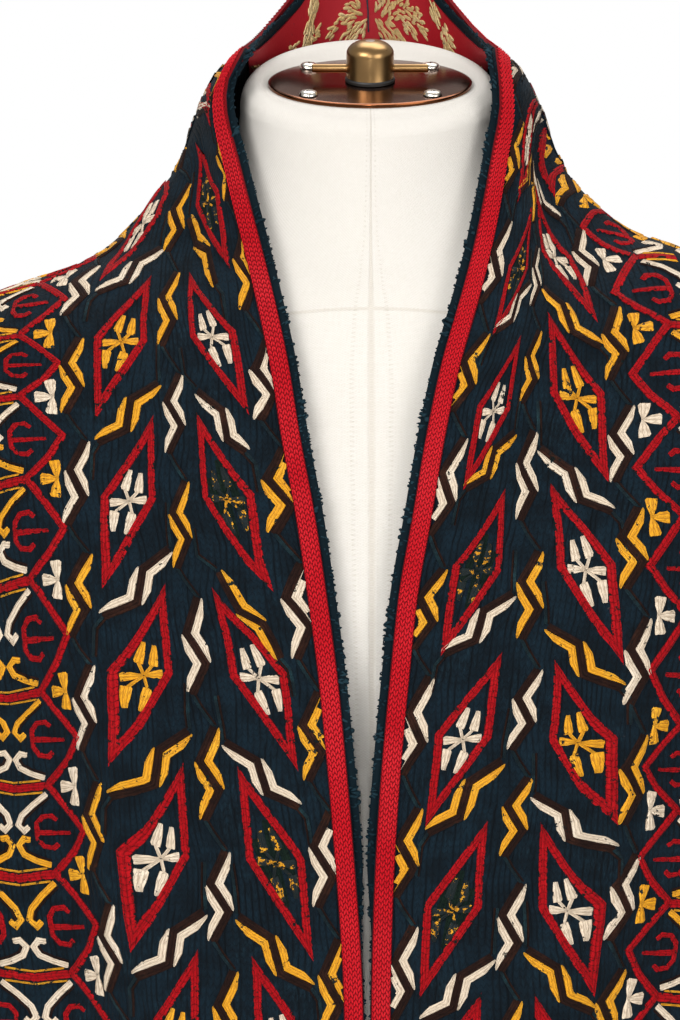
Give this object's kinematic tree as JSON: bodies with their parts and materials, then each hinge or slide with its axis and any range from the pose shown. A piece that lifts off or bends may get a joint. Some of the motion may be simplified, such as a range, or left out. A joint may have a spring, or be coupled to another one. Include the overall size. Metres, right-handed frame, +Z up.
{
  "type": "chapan on dress form",
  "caption": "Long straight-cut embroidered coat, open at the front with hanging sleeves, worn on a limbless dress form that stands on a round foot.",
  "frame": {"origin": "centre of the stand foot's underside, on the floor", "axes": "+Z up; the coat's open front faces -Y; +X is the wearer's left, so the viewer's right"},
  "size_m": [0.7025, 0.4306, 1.5697],
  "materials": {
    "navy_silk": "dense lacing-stitch silk on a dark navy ground",
    "red_braid": "flat looped crimson braid",
    "crimson_lining": "smooth crimson lining with gold sprays",
    "dark_edging": "tufted dark looped edging",
    "linen": "off-white woven cover",
    "antique_brass": "antique, polished",
    "screw_steel": "bright"
  },
  "bodies": {
    "stand": {"back": "navy_silk", "front_right": "navy_silk", "front_left": "navy_silk", "gore_right": "navy_silk", "gore_left": "navy_silk", "sleeve_right": "navy_silk", "sleeve_left": "navy_silk", "edge_braid": "red_braid", "edge_cord": "dark_edging", "neck_lining": "crimson_lining", "form_torso": "linen", "neck_plate": "antique_brass", "plate_screw_1": "screw_steel", "plate_screw_2": "screw_steel", "plate_screw_3": "screw_steel", "plate_screw_4": "screw_steel", "stand_flange": "antique_brass", "stand_pole": "antique_brass", "stand_foot": "antique_brass"},
    "knob": {"neck_knob": "antique_brass", "neck_bar": "antique_brass"}
  },
  "joints": [
    {"name": "knob_turn", "type": "hinge", "parent": "stand", "child": "knob", "pos_m": [0, 0.0015, 1.4815], "axis": [0, -0.3746, 0.9272], "range_deg": [0, 450]}
  ]
}
